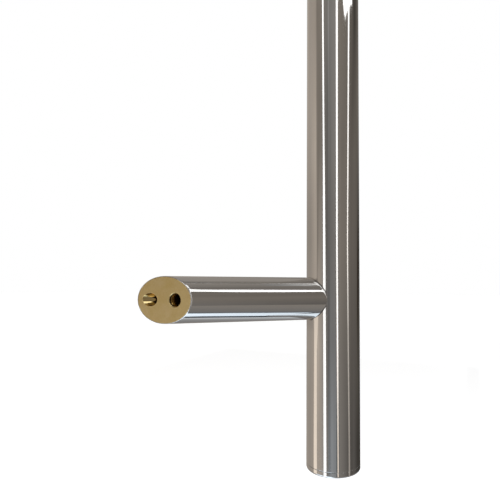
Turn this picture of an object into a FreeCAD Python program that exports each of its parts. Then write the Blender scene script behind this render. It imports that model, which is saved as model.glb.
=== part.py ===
import FreeCAD, Part
import os
import Sketcher

# A bridge pull handle for a door, in millimetres.
# The grip is a straight round tube that stands upright, with a cap in each end. Two thinner round posts
# sit on it square to its length, run back at an angle to the door, and end in a foot that is cut flat in
# the plane of the door. A brass insert in each foot holds a tapped fixing hole and a plain bore.
# The frame's origin lies on the door, half way between the two tapped holes.
# +Z runs up along the grip, and +Y points from the handle into the door.

# Driving dimensions

SIZES = {
    "post_spacing": 400.0,      # centre to centre, for the posts and for the tapped holes
    "end_overhang": 100.0,      # from a post's centre to the flat of the nearest end cap
    "stand_off": 70.0,          # from the door to the grip's centre line
    "post_angle": 45.0,         # degrees between a post and the door's normal
    "grip_diameter": 32.0,
    "grip_wall": 1.5,
    "post_diameter": 25.0,
    "post_wall": 0.5,
    "foot_chamfer": 0.2,        # on the post's edge at the door
    "cap_rim": 3.2,             # height of a cap past the end of the tube
    "cap_edge_chamfer": 1.0,
    "cap_spigot": 11.0,         # depth of a cap's spigot in the tube
    "cap_spigot_wall": 2.5,
    "seam_chamfer": 0.2,        # on the tube's edge where a cap meets it
    "fit_gap": 0.05,            # radial gap round a piece that is glued or pressed into a tube
    "insert_length": 26.0,      # from the middle of the foot inwards
    "bolt_offset": 7.3,         # tapped hole, from the middle of the foot towards the grip
    "tap_drill": 6.8,           # bore of an M8 thread
    "tap_depth": 15.0,
    "countersink_depth": 0.4,   # at the mouth of the tapped hole
    "pin_offset": 9.3,          # plain bore, from the middle of the foot away from the grip
    "pin_bore": 6.8,
    "pin_depth": 12.0,          # along the bore's axis from the plane of the foot
    "drill_point": 118.0,       # degrees
    "plug_length": 18.0,        # from the grip's surface to the face that carries the washer
    "screw_clearance": 9.0,     # holes that the screw passes through
    "screw_thread": 8.0,
    "screw_length": 30.0,
    "screw_head": 13.0,
    "screw_head_height": 8.0,
    "screw_chamfer": 0.8,
    "key_size": 6.0,            # across the flats of the hexagon socket
    "key_depth": 4.0,
    "washer_diameter": 14.8,
    "washer_bore": 8.4,
    "washer_thickness": 2.0,
    "washer_split": 1.0,
    "nut_length": 24.0,         # along the grip
    "thread_gap": 0.1,          # radial gap between the screw and the nut, whose threads aren't cut
}

# Lengths that follow from them

POST_HEIGHT = "(Sizes.post_spacing / 2)"
TUBE_END = "(" + POST_HEIGHT + " + Sizes.end_overhang - Sizes.cap_rim)"
GRIP_BORE = "(Sizes.grip_diameter - 2 * Sizes.grip_wall)"
POST_BORE = "(Sizes.post_diameter - 2 * Sizes.post_wall)"
GRIP_FIT = "(" + GRIP_BORE + " - 2 * Sizes.fit_gap)"
POST_FIT = "(" + POST_BORE + " - 2 * Sizes.fit_gap)"
POST_REACH = "(Sizes.stand_off / cos(Sizes.post_angle))"
POST_TIP = "(" + POST_REACH + " + Sizes.post_diameter / 2 * tan(Sizes.post_angle))"
FOOT_WIDTH = "(Sizes.post_diameter / cos(Sizes.post_angle))"
GRIP_ACROSS = "(Sizes.bolt_offset - Sizes.stand_off * tan(Sizes.post_angle))"
PLUG_SEAT = "(Sizes.grip_diameter / 2 + Sizes.plug_length)"
HEAD_SEAT = "(" + PLUG_SEAT + " + Sizes.washer_thickness)"
TAP_MOUTH = "(Sizes.tap_drill + 2 * Sizes.countersink_depth)"
PIN_MOUTH = "(" + POST_REACH + " + Sizes.pin_offset * sin(Sizes.post_angle))"
CUT_MARGIN = "5"  # how far a blank or a cut runs past the surface that trims it

COUNTERSINK_ANGLE = "90"
WHOLE_TURN = 360
SAME_PLACE = 0.001
PARTS_FOLDER = "parts"

UP = FreeCAD.Vector(0, 0, 1)
DOWN_THE_POST = FreeCAD.Vector(1, 0, 0)

doc = FreeCAD.newDocument("pull_handle")
sheet = doc.addObject("Spreadsheet::Sheet", "Sizes")


# Sheet and values


def fill_sheet():
    for row, (name, value) in enumerate(SIZES.items(), start=1):
        sheet.set("A%d" % row, name)
        sheet.set("B%d" % row, str(value))
        sheet.setAlias("B%d" % row, name)
    doc.recompute()


def value_of(expression):
    return float(sheet.evalExpression(expression))


# Bodies and sketches. A body's own frame has its Z axis on the grip's centre line, or along the grip,
# and its X axis pointing down the post from the grip to the foot.


def new_body(label):
    body = doc.addObject("PartDesign::Body", label)
    body.Label = label
    return body


def new_sketch(body, name, plane, offset=None, turn=None):
    """A sketch on one of the body's planes, moved along its normal and turned about its upright axis."""
    sketch = body.newObject("Sketcher::SketchObject", body.Label + "_" + name)
    support = [part for part in body.Origin.OriginFeatures if part.Role == plane]
    sketch.AttachmentSupport = [(support[0], "")]
    sketch.MapMode = "FlatFace"
    if offset:
        sketch.setExpression("AttachmentOffset.Base.z", offset)
    if turn:
        sketch_upright = FreeCAD.Vector(0, 1, 0)
        turned = FreeCAD.Rotation(sketch_upright, value_of(turn))
        sketch.AttachmentOffset = FreeCAD.Placement(FreeCAD.Vector(), turned)
        sketch.setExpression("AttachmentOffset.Rotation.Angle", turn)
    return sketch


def foot_sketch(body, name):
    """A sketch in the plane of the door, with its origin in the middle of the foot and X to the grip."""
    return new_sketch(body, name, "YZ_Plane", offset=POST_REACH, turn="Sizes.post_angle")


def bind(sketch, constraint, name, expression):
    index = sketch.addConstraint(constraint)
    sketch.renameConstraint(index, name)
    sketch.setExpression("Constraints." + name, expression)


def add_circle(sketch, name, diameter, across="0", up="0"):
    """A circle bound to the sheet, with its centre at (across, up) in the sketch."""
    centre = FreeCAD.Vector(value_of(across), value_of(up), 0)
    size = value_of(diameter)
    circle = sketch.addGeometry(Part.Circle(centre, UP, size / 2), False)
    pin_point(sketch, (circle, 3), name, centre, across, up)
    bind(sketch, Sketcher.Constraint("Diameter", circle, size), name + "_diameter", diameter)


def pin_point(sketch, point, name, place, across, up):
    """Fixes a point of the sketch: on an axis where its expression is 0, and else at that distance."""
    horizontal_axis, vertical_axis, origin = (-1, -2, (-1, 1))
    if across == "0":
        sketch.addConstraint(Sketcher.Constraint("PointOnObject", *point, vertical_axis))
    else:
        bind(sketch, Sketcher.Constraint("DistanceX", *origin, *point, place.x), name + "_x", across)
    if up == "0":
        sketch.addConstraint(Sketcher.Constraint("PointOnObject", *point, horizontal_axis))
    else:
        bind(sketch, Sketcher.Constraint("DistanceY", *origin, *point, place.y), name + "_y", up)


def add_outline(sketch, corners):
    """A closed outline of straight lines through corners that are named and bound to the sheet."""
    places = [FreeCAD.Vector(value_of(across), value_of(up), 0) for name, across, up in corners]
    lines = []
    for start, end in zip(places, places[1:] + places[:1]):
        lines.append(sketch.addGeometry(Part.LineSegment(start, end), False))
    for line, following in zip(lines, lines[1:] + lines[:1]):
        sketch.addConstraint(Sketcher.Constraint("Coincident", line, 2, following, 1))
    for line, place, (name, across, up) in zip(lines, places, corners):
        pin_point(sketch, (line, 1), name, place, across, up)


# Features


def new_feature(body, kind, name, sketch=None):
    feature = body.newObject("PartDesign::" + kind, body.Label + "_" + name)
    if sketch:
        feature.Profile = sketch
    return feature


def pad(body, name, sketch, length, both_ways=False):
    feature = new_feature(body, "Pad", name, sketch)
    feature.setExpression("Length", length)
    if both_ways:
        feature.SideType = "Symmetric"
    doc.recompute()


def pocket(body, name, sketch, length=None, towards_normal=False):
    """Cuts the sketch's outline to a length, or both ways through everything when it has none."""
    before = body.Shape.Volume
    feature = new_feature(body, "Pocket", name, sketch)
    if length:
        feature.Reversed = towards_normal
        feature.setExpression("Length", length)
    else:
        feature.Type = "ThroughAll"
        feature.SideType = "Symmetric"
    doc.recompute()
    check_cut(body, name, before)


def revolve(body, name, sketch, axis):
    feature = new_feature(body, "Revolution", name, sketch)
    feature.ReferenceAxis = (sketch, [axis])
    feature.Angle = WHOLE_TURN
    doc.recompute()


def drill(body, name, sketch, diameter, depth, mouth=None):
    """A blind hole with a drill point, and with a countersunk mouth when one is named."""
    before = body.Shape.Volume
    hole = new_feature(body, "Hole", name, sketch)
    doc.recompute()
    hole.ThreadType = "None"
    hole.DepthType = "Dimension"
    hole.DrillPoint = "Angled"
    hole.setExpression("Diameter", diameter)
    hole.setExpression("Depth", depth)
    hole.setExpression("DrillPointAngle", "Sizes.drill_point")
    if mouth:
        hole.HoleCutType = "Countersink"
        hole.HoleCutCustomValues = True
        hole.setExpression("HoleCutDiameter", mouth)
        hole.setExpression("HoleCutCountersinkAngle", COUNTERSINK_ANGLE)
    doc.recompute()
    check_cut(body, name, before)


def chamfer(body, name, size, edges):
    if not edges:
        raise ValueError("%s finds no edges on %s" % (name, body.Label))
    base = body.Tip
    feature = new_feature(body, "Chamfer", name)
    feature.Base = (base, edges)
    feature.setExpression("Size", size)
    doc.recompute()


def check_cut(body, name, before):
    if body.Shape.Volume >= before:
        raise ValueError("%s removes nothing from %s" % (name, body.Label))


# Edges are found by the surfaces that they lie on


def on_cylinder(axis, diameter):
    radius = value_of(diameter) / 2
    return lambda point: abs((point - axis * point.dot(axis)).Length - radius)


def on_plane(normal, distance):
    return lambda point: abs(point.dot(normal) - distance)


def edges_on(body, *surfaces):
    found = []
    for number, edge in enumerate(body.Shape.Edges, start=1):
        points = edge.discretize(Number=7)
        if all(surface(point) < SAME_PLACE for surface in surfaces for point in points):
            found.append("Edge%d" % number)
    return found


def place_on_grip(body, up="0"):
    """Sets the body's origin on the grip's centre line and turns its X axis down the posts."""
    turned = FreeCAD.Rotation(UP, value_of("90 - Sizes.post_angle"))
    body.Placement = FreeCAD.Placement(FreeCAD.Vector(), turned)
    body.setExpression("Placement.Rotation.Angle", "90 - Sizes.post_angle")
    body.setExpression("Placement.Base.x", GRIP_ACROSS)
    body.setExpression("Placement.Base.y", "-Sizes.stand_off")
    body.setExpression("Placement.Base.z", up)


# Sub-parts


def make_grip_tube():
    """The round grip, open at both ends, with a hole in the near wall for each post's screw."""
    body = new_body("grip_tube")
    section = new_sketch(body, "section", "XY_Plane")
    add_circle(section, "outside", "Sizes.grip_diameter")
    add_circle(section, "bore", GRIP_BORE)
    pad(body, "tube", section, "2 * " + TUBE_END, both_ways=True)

    outside = on_cylinder(UP, "Sizes.grip_diameter")
    end = value_of(TUBE_END)
    rims = edges_on(body, outside, on_plane(UP, end)) + edges_on(body, outside, on_plane(UP, -end))
    chamfer(body, "seams", "Sizes.seam_chamfer", rims)

    holes = new_sketch(body, "screw_holes", "YZ_Plane")
    add_circle(holes, "upper_hole", "Sizes.screw_clearance", up=POST_HEIGHT)
    add_circle(holes, "lower_hole", "Sizes.screw_clearance", up="-" + POST_HEIGHT)
    pocket(body, "screw_hole_cut", holes, "Sizes.grip_diameter", towards_normal=True)
    place_on_grip(body)
    return body


def make_end_cap(label, above):
    """A flat cap with a bevelled rim, and a hollow spigot that is glued into the tube."""
    body = new_body(label)
    rim = "Sizes.grip_diameter / 2"
    spigot = GRIP_FIT + " / 2"
    spigot_inside = spigot + " - Sizes.cap_spigot_wall"
    profile = new_sketch(body, "profile", "XZ_Plane")
    add_outline(profile, [
        ("top_centre", "0", "Sizes.cap_rim"),
        ("top_rim", rim, "Sizes.cap_rim"),
        ("seat_rim", rim, "0"),
        ("spigot_root", spigot, "0"),
        ("spigot_end", spigot, "-Sizes.cap_spigot"),
        ("spigot_mouth", spigot_inside, "-Sizes.cap_spigot"),
        ("spigot_floor", spigot_inside, "0"),
        ("floor_centre", "0", "0"),
    ])
    revolve(body, "turned", profile, "V_Axis")

    top = on_plane(UP, value_of("Sizes.cap_rim"))
    top_edge = edges_on(body, on_cylinder(UP, "Sizes.grip_diameter"), top)
    chamfer(body, "edge", "Sizes.cap_edge_chamfer", top_edge)

    facing = FreeCAD.Rotation(DOWN_THE_POST, 0 if above else 180)
    body.Placement = FreeCAD.Placement(FreeCAD.Vector(), facing)
    body.setExpression("Placement.Base.x", GRIP_ACROSS)
    body.setExpression("Placement.Base.y", "-Sizes.stand_off")
    body.setExpression("Placement.Base.z", TUBE_END if above else "-" + TUBE_END)
    return body


def cope(body):
    """Cuts the end of a round blank to the outside of the grip, so that it sits on it like a saddle."""
    saddle = new_sketch(body, "saddle", "XY_Plane")
    add_circle(saddle, "grip", "Sizes.grip_diameter")
    pocket(body, "cope", saddle)


def trim_at_door(body):
    """Cuts a round blank off in the plane of the door."""
    foot = foot_sketch(body, "foot")
    add_circle(foot, "beyond", FOOT_WIDTH + " + 2 * " + CUT_MARGIN)
    pocket(body, "mitre", foot, "Sizes.post_diameter + 2 * " + CUT_MARGIN, towards_normal=True)


def make_post(label, height):
    """A tube that is coped to the grip at one end and mitred flat to the door at the other."""
    body = new_body(label)
    section = new_sketch(body, "section", "YZ_Plane")
    add_circle(section, "outside", "Sizes.post_diameter")
    add_circle(section, "bore", POST_BORE)
    pad(body, "tube", section, POST_TIP + " + " + CUT_MARGIN)
    cope(body)
    trim_at_door(body)

    outside = on_cylinder(DOWN_THE_POST, "Sizes.post_diameter")
    foot_edge = edges_on(body, outside, in_door_plane())
    chamfer(body, "foot_edge", "Sizes.foot_chamfer", foot_edge)
    place_on_grip(body, height)
    return body


def in_door_plane():
    lean = FreeCAD.Rotation(UP, value_of("Sizes.post_angle"))
    return on_plane(lean.multVec(DOWN_THE_POST), value_of("Sizes.stand_off"))


def make_foot_insert(label, height):
    """A brass slug, flush with the post's cut end, with the tapped hole square to the door and a
    plain bore along the post."""
    body = new_body(label)
    section = new_sketch(body, "section", "YZ_Plane", offset=POST_REACH + " - Sizes.insert_length")
    add_circle(section, "outside", POST_FIT)
    length = "Sizes.insert_length + " + POST_TIP + " - " + POST_REACH + " + " + CUT_MARGIN
    pad(body, "slug", section, length)
    trim_at_door(body)

    tapped = foot_sketch(body, "tapped_place")
    add_circle(tapped, "drill", "Sizes.tap_drill", across="Sizes.bolt_offset")
    drill(body, "tapped_hole", tapped, "Sizes.tap_drill", "Sizes.tap_depth", mouth=TAP_MOUTH)

    mouth_edge = "Sizes.pin_bore / 2 * tan(Sizes.post_angle)"
    plain = new_sketch(body, "pin_place", "YZ_Plane", offset=PIN_MOUTH + " + " + mouth_edge)
    add_circle(plain, "drill", "Sizes.pin_bore", across="-Sizes.pin_offset * cos(Sizes.post_angle)")
    drill(body, "pin_hole", plain, "Sizes.pin_bore", "Sizes.pin_depth + " + mouth_edge)
    place_on_grip(body, height)
    return body


def make_saddle_plug(label, height):
    """A steel plug in the post's coped end, which the screw pulls against the grip."""
    body = new_body(label)
    section = new_sketch(body, "section", "YZ_Plane")
    add_circle(section, "outside", POST_FIT)
    add_circle(section, "bore", "Sizes.screw_clearance")
    pad(body, "blank", section, PLUG_SEAT)
    cope(body)
    place_on_grip(body, height)
    return body


def make_joint_washer(label, height):
    """A split spring washer between the plug and the screw's head, drawn pressed flat."""
    body = new_body(label)
    section = new_sketch(body, "section", "YZ_Plane", offset=PLUG_SEAT)
    add_circle(section, "outside", "Sizes.washer_diameter")
    add_circle(section, "bore", "Sizes.washer_bore")
    pad(body, "ring", section, "Sizes.washer_thickness")

    split = new_sketch(body, "split", "YZ_Plane", offset=PLUG_SEAT)
    half_split = "Sizes.washer_split / 2"
    add_outline(split, [
        ("inner_left", "-" + half_split, "0"),
        ("inner_right", half_split, "0"),
        ("outer_right", half_split, "Sizes.washer_diameter"),
        ("outer_left", "-" + half_split, "Sizes.washer_diameter"),
    ])
    pocket(body, "split_cut", split)
    place_on_grip(body, height)
    return body


def make_joint_screw(label, height):
    """A cap screw that runs from inside the post through the grip's wall into the nut."""
    body = new_body(label)
    tip = HEAD_SEAT + " - Sizes.screw_length"
    head_end = HEAD_SEAT + " + Sizes.screw_head_height"
    thread = "Sizes.screw_thread / 2"
    head = "Sizes.screw_head / 2"
    profile = new_sketch(body, "profile", "XY_Plane")
    add_outline(profile, [
        ("tip_centre", tip, "0"),
        ("tip_edge", tip, thread + " - Sizes.screw_chamfer"),
        ("thread_start", tip + " + Sizes.screw_chamfer", thread),
        ("thread_end", HEAD_SEAT, thread),
        ("head_seat", HEAD_SEAT, head),
        ("head_edge", head_end, head),
        ("head_centre", head_end, "0"),
    ])
    revolve(body, "turned", profile, "H_Axis")

    socket = new_sketch(body, "socket", "YZ_Plane", offset=head_end)
    add_hexagon(socket, "Sizes.key_size")
    pocket(body, "socket_cut", socket, "Sizes.key_depth")
    place_on_grip(body, height)
    return body


def add_hexagon(sketch, flats):
    """A regular hexagon round the sketch's origin, with two flats upright."""
    corner = flats + " / (2 * cos(30))"
    side = "(" + flats + " / 2)"
    add_outline(sketch, [
        ("top", "0", corner),
        ("upper_left", "-" + side, corner + " / 2"),
        ("lower_left", "-" + side, "-" + corner + " / 2"),
        ("bottom", "0", "-" + corner),
        ("lower_right", side, "-" + corner + " / 2"),
        ("upper_right", side, corner + " / 2"),
    ])


def make_grip_nut(label, height):
    """A slug inside the grip, tapped crosswise for the screw."""
    body = new_body(label)
    section = new_sketch(body, "section", "XY_Plane")
    add_circle(section, "outside", GRIP_FIT)
    pad(body, "slug", section, "Sizes.nut_length", both_ways=True)

    cross = new_sketch(body, "cross", "YZ_Plane")
    add_circle(cross, "thread", "Sizes.screw_thread + 2 * Sizes.thread_gap")
    pocket(body, "cross_hole", cross)
    place_on_grip(body, height)
    return body


# The whole handle


def make_parts():
    bodies = [make_grip_tube(), make_end_cap("upper_end_cap", True), make_end_cap("lower_end_cap", False)]
    for end, height in (("upper", POST_HEIGHT), ("lower", "-" + POST_HEIGHT)):
        bodies.append(make_post(end + "_post", height))
        bodies.append(make_foot_insert(end + "_foot_insert", height))
        bodies.append(make_saddle_plug(end + "_saddle_plug", height))
        bodies.append(make_joint_washer(end + "_joint_washer", height))
        bodies.append(make_joint_screw(end + "_joint_screw", height))
        bodies.append(make_grip_nut(end + "_grip_nut", height))
    doc.recompute()
    return bodies


def check_document(bodies):
    for item in doc.Objects:
        if "Invalid" in item.State or "Error" in item.State:
            raise ValueError(item.Name + " failed: " + ", ".join(item.State))
    for body in bodies:
        if body.Shape.isNull() or not body.Shape.isValid() or len(body.Shape.Solids) != 1:
            raise ValueError(body.Label + " isn't one valid solid")


def write_parts(bodies):
    os.makedirs(PARTS_FOLDER, exist_ok=True)
    for body in bodies:
        body.Shape.exportStep(os.path.join(PARTS_FOLDER, body.Label + ".step"))
        box = body.Shape.BoundBox
        corners = (box.XMin, box.YMin, box.ZMin, box.XMax, box.YMax, box.ZMax)
        print(body.Label, "volume %.1f, box" % body.Shape.Volume, *["%.2f" % value for value in corners])


fill_sheet()
parts = make_parts()
check_document(parts)
write_parts(parts)
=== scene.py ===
import math

import bmesh
import bpy
from mathutils import Matrix, Vector


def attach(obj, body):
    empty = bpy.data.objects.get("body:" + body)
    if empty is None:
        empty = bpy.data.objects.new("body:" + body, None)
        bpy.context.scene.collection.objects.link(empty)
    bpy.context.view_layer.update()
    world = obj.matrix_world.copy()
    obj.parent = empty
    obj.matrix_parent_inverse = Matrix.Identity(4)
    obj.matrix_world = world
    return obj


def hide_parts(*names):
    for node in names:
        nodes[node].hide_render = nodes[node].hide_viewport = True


# Bridge pull handle of polished steel, with a brass slug in each foot.
# The handle's lengths are given in millimetres and the studio's in metres.
# Everything is built in metres.

mm = 0.001
up = Vector((0, 0, 1))

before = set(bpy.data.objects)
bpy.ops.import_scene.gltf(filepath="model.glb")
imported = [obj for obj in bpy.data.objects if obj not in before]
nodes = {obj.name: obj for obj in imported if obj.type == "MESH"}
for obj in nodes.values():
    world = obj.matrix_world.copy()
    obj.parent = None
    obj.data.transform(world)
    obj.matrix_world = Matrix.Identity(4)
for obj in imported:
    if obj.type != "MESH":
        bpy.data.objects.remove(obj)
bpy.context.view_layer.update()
print("frame loaded:", len(nodes), "nodes")

layout = {
    "gripAxis": (-62.7, -70.0),  # where the grip stands, seen from above
    "footCentre": (7.3, 0.0),    # middle of each foot on the door
    "postHeight": 200.0,
    "tubeEnd": 296.8,            # half the length of the grip's tube
}

gripAxis = Vector((*layout["gripAxis"], 0)) * mm
footCentre = Vector((*layout["footCentre"], 0)) * mm
alongPost = (footCentre - gripAxis).normalized()  # from the grip to the foot
acrossPost = up.cross(alongPost)                  # level, square to the post
postReach = (footCentre - gripAxis).length


# Camera at the photograph's viewpoint

cameraFit = {
    "focalPixels": 415.977,
    "imagePixels": 500,
    "sensor": 36.0,
    "centreX": 287.957,   # pixel on the lens axis
    "centreY": 263.157,
    "pitch": 2.871,       # degrees
    "roll": -0.232,
    "turn": 21.233,       # of the post out of the picture's plane
    "gripPoint": (27.333, -21.365, -252.913),  # grip's axis at the lower post, seen by the camera
    "clip": (0.01, 100),  # metres
}


def makeCamera(fit):
    pitch, roll, turn = (math.radians(fit[key]) for key in ("pitch", "roll", "turn"))
    rolled = Matrix.Rotation(roll, 3, "Z")
    gripUp = rolled @ Vector((0, math.cos(pitch), -math.sin(pitch)))
    right = rolled @ Vector((1, 0, 0))
    seen = Matrix((right, right.cross(gripUp), gripUp)).transposed()
    level = -math.cos(turn) * alongPost + math.sin(turn) * acrossPost
    facing = math.sin(turn) * alongPost + math.cos(turn) * acrossPost
    real = Matrix((level, facing, up)).transposed()
    rotation = real @ seen.transposed()
    gripPoint = gripAxis - up * layout["postHeight"] * mm
    place = gripPoint - rotation @ (Vector(fit["gripPoint"]) * mm)

    data = bpy.data.cameras.new("camera")
    data.sensor_width = fit["sensor"]
    data.lens = fit["sensor"] * fit["focalPixels"] / fit["imagePixels"]
    half = fit["imagePixels"] / 2
    data.shift_x = (half - fit["centreX"]) / fit["imagePixels"]
    data.shift_y = (fit["centreY"] - half) / fit["imagePixels"]
    data.clip_start, data.clip_end = fit["clip"]
    camera = bpy.data.objects.new("camera", data)
    camera.matrix_world = Matrix.Translation(place) @ rotation.to_4x4()
    bpy.context.scene.collection.objects.link(camera)
    bpy.context.scene.camera = camera


makeCamera(cameraFit)
print("camera placed")


# Mesh helpers

sharpAngle = math.radians(30)  # an edge that bends more than this stays crisp


def meshObject(name, bm):
    bmesh.ops.recalc_face_normals(bm, faces=bm.faces)
    mesh = bpy.data.meshes.new(name)
    bm.to_mesh(mesh)
    bm.free()
    mesh.polygons.foreach_set("use_smooth", [True] * len(mesh.polygons))
    mesh.set_sharp_from_angle(angle=sharpAngle)
    piece = bpy.data.objects.new(name, mesh)
    bpy.context.scene.collection.objects.link(piece)
    return piece


def loftRings(bm, rings, closed=False):
    made = [[bm.verts.new(point) for point in ring] for ring in rings]
    pairs = list(zip(made, made[1:]))
    if closed:
        pairs.append((made[-1], made[0]))
    for lower, upper in pairs:
        for i in range(len(lower)):
            bm.faces.new((lower[i - 1], lower[i], upper[i], upper[i - 1]))
    return made


def ringsFrom(outlines):
    # outlines run along a piece, and rings run round it
    return [list(ring) for ring in zip(*outlines)]


def closeRing(bm, ring, centre):
    middle = bm.verts.new(centre)
    for i in range(len(ring)):
        bm.faces.new((ring[i - 1], ring[i], middle))


def turnsOf(count):
    return [2 * math.pi * i / count for i in range(count)]


def blend(low, high, share):
    return low + (high - low) * share


def softCorner(before, corner, after, reach, steps, guard, reachAfter=None):
    # a corner eased by a curve that meets both sides flush, with a guard row beyond each end
    towardsBefore = (before - corner).normalized()
    towardsAfter = (after - corner).normalized()
    reachAfter = reach if reachAfter is None else reachAfter
    first = corner + towardsBefore * reach
    last = corner + towardsAfter * reachAfter
    points = [first + towardsBefore * guard]
    for i in range(steps + 1):
        t = i / steps
        points.append(first.lerp(corner, t).lerp(corner.lerp(last, t), t))
    points.append(last + towardsAfter * guard)
    return points


def lathe(bm, profile, around, height=0.0, facing=1, closed=False):
    # profile points are (radius, height) about the grip's axis
    rings = []
    for radius, rise in profile:
        centre = gripAxis + up * (height + facing * rise) * mm
        rings.append([centre + Vector((math.cos(t), math.sin(t), 0)) * radius * mm
                      for t in turnsOf(around)])
    return loftRings(bm, rings, closed)


def ridesFor(piece, node):
    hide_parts(node)
    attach(piece, "root")
    return piece


# Grip tube

gripTube = {
    "radius": 16.0,
    "bore": 14.5,
    "seamEasing": 0.22,
    "seamSteps": 5,
    "guard": 0.05,            # from the easing's end to the row that keeps the wall's shading even
    "around": 256,
    "rowSpacing": 25.0,
    "screwHole": 4.5,
    "holeAround": 48,
    "holeReach": (4.0, 2.0),  # of the cutter, inside the bore and outside the wall
}


def makeGripTube(spec):
    end = layout["tubeEnd"]
    outer, inner = spec["radius"], spec["bore"]
    bottomIn, bottomOut = Vector((inner, -end)), Vector((outer, -end))
    topIn, topOut = Vector((inner, end)), Vector((outer, end))
    easing = (spec["seamEasing"], spec["seamSteps"], spec["guard"])
    profile = [bottomIn]
    profile += softCorner(bottomIn, bottomOut, topOut, *easing)
    rows = int(2 * end / spec["rowSpacing"])
    profile += [bottomOut.lerp(topOut, row / rows) for row in range(1, rows)]
    profile += softCorner(bottomOut, topOut, topIn, *easing)
    profile.append(topIn)
    bm = bmesh.new()
    lathe(bm, profile, spec["around"], closed=True)
    return meshObject("gripTube", bm)


def cutScrewHoles(tube, spec):
    # one hole under each post
    inward, outward = spec["holeReach"]
    bm = bmesh.new()
    for side in (1, -1):
        start = gripAxis + up * side * layout["postHeight"] * mm
        rings = []
        for distance in (spec["bore"] - inward, spec["radius"] + outward):
            centre = start + alongPost * distance * mm
            rings.append([centre + (acrossPost * math.cos(t) + up * math.sin(t)) * spec["screwHole"] * mm
                          for t in turnsOf(spec["holeAround"])])
        for ring in loftRings(bm, rings):
            bm.faces.new(ring)
    cutter = meshObject("screwHoleCutter", bm)
    cut = tube.modifiers.new("screwHoles", "BOOLEAN")
    cut.operation = "DIFFERENCE"
    cut.solver = "EXACT"
    cut.object = cutter
    graph = bpy.context.evaluated_depsgraph_get()
    pierced = bpy.data.meshes.new_from_object(tube.evaluated_get(graph))
    tube.modifiers.clear()
    tube.data = pierced
    bpy.data.objects.remove(cutter)


grip = makeGripTube(gripTube)
cutScrewHoles(grip, gripTube)
ridesFor(grip, "grip_tube")
print("grip tube:", len(grip.data.polygons), "faces")


# End caps

endCap = {
    "radius": 16.0,
    "rim": 3.2,
    "faceRings": (0.2, 0.5, 0.8),  # shares of the face's radius
    "edgeEasing": 1.0,
    "edgeSteps": 14,
    "seamEasing": 0.18,
    "seamSteps": 5,
    "guard": 0.05,
    "spigot": 14.45,
    "spigotWall": 2.5,
    "spigotDepth": 11.0,
    "around": 256,
}


def makeEndCap(name, spec, facing):
    faceCentre, faceRim = Vector((0.0, spec["rim"])), Vector((spec["radius"], spec["rim"]))
    seatRim, seatRoot = Vector((spec["radius"], 0.0)), Vector((spec["spigot"], 0.0))
    spigotEnd = Vector((spec["spigot"], -spec["spigotDepth"]))
    mouthRadius = spec["spigot"] - spec["spigotWall"]
    guard = spec["guard"]
    profile = [faceCentre.lerp(faceRim, share) for share in spec["faceRings"]]
    profile += softCorner(faceCentre, faceRim, seatRim, spec["edgeEasing"], spec["edgeSteps"], guard)
    profile += softCorner(faceRim, seatRim, seatRoot, spec["seamEasing"], spec["seamSteps"], guard)
    profile += [seatRoot, spigotEnd]
    profile += [Vector((mouthRadius, rise)) for rise in (-spec["spigotDepth"], 0.0)]
    bm = bmesh.new()
    height = facing * layout["tubeEnd"]
    made = lathe(bm, profile, spec["around"], height, facing)
    closeRing(bm, made[0], gripAxis + up * (height + facing * spec["rim"]) * mm)
    closeRing(bm, made[-1], gripAxis + up * height * mm)
    return meshObject(name, bm)


caps = []
for end, facing in (("upper", 1), ("lower", -1)):
    cap = makeEndCap(end + "CapTurned", endCap, facing)
    caps.append(ridesFor(cap, end + "_end_cap"))
print("end caps:", len(caps))


# Posts, coped to the grip and mitred at the door

post = {
    "radius": 12.5,
    "bore": 12.2,
    "saddleEasing": 0.5,        # where the post meets the grip
    "saddleEasingInward": 3.0,  # the same on the half that faces the other post
    "saddleDrop": 0.25,         # how deep the easing goes into the wall
    "saddleSteps": 12,
    "saddleGuard": 0.03,
    "inwardStart": 0.05,        # height towards the other post where this begins, in radii
    "inwardSpan": 0.4,          # and how much further on it is full
    "buffedWall": 0.5,          # how far polishing has rounded the wall at the blunt side of the foot
    "buffedWallSharp": 0.3,     # and at its sharp side
    "buffedShoulder": 3.0,      # more of it on the half that faces the other post
    "buffedRim": 0.30,          # across the rim's flat
    "buffedRimSharp": 0.15,
    "footSteps": 16,
    "footGuard": 0.04,
    "around": 256,
    "wallRows": 24,
}


def postPoint(foot, turn, radius, along):
    across = acrossPost * math.cos(turn) + up * math.sin(turn)
    return foot + (across * radius + alongPost * along) * mm


def alongAtDoor(turn, radius):
    # where a line of the post's surface meets the door, from the middle of the foot
    return -radius * math.cos(turn) * acrossPost.y / alongPost.y


def alongAtGrip(turn, radius):
    # and where it meets the grip
    return math.sqrt(gripTube["radius"] ** 2 - (radius * math.cos(turn)) ** 2) - postReach / mm


def bluntness(turn):
    # 1 on the side of the foot where the post leans over the door least, 0 where its edge is sharpest
    return 0.5 + 0.5 * math.cos(turn)


def inwardness(turn, side, spec):
    # 0 on the half of a post that faces away from the other post, rising to 1 on the half towards it
    share = min(1.0, max(0.0, (-side * math.sin(turn) - spec["inwardStart"]) / spec["inwardSpan"]))
    return share * share * (3 - 2 * share)


def easedEnd(inner, rim, outer, drop, reach, steps, guard):
    # from a wall's end face out to its surface by one even curve, with a guard row after it
    start = rim + (inner - rim).normalized() * drop
    middle = rim + (outer - rim).normalized() * reach / 2
    curve = softCorner(start, middle, outer, (start - middle).length, steps, guard, reach / 2)
    return curve[1:]


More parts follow.
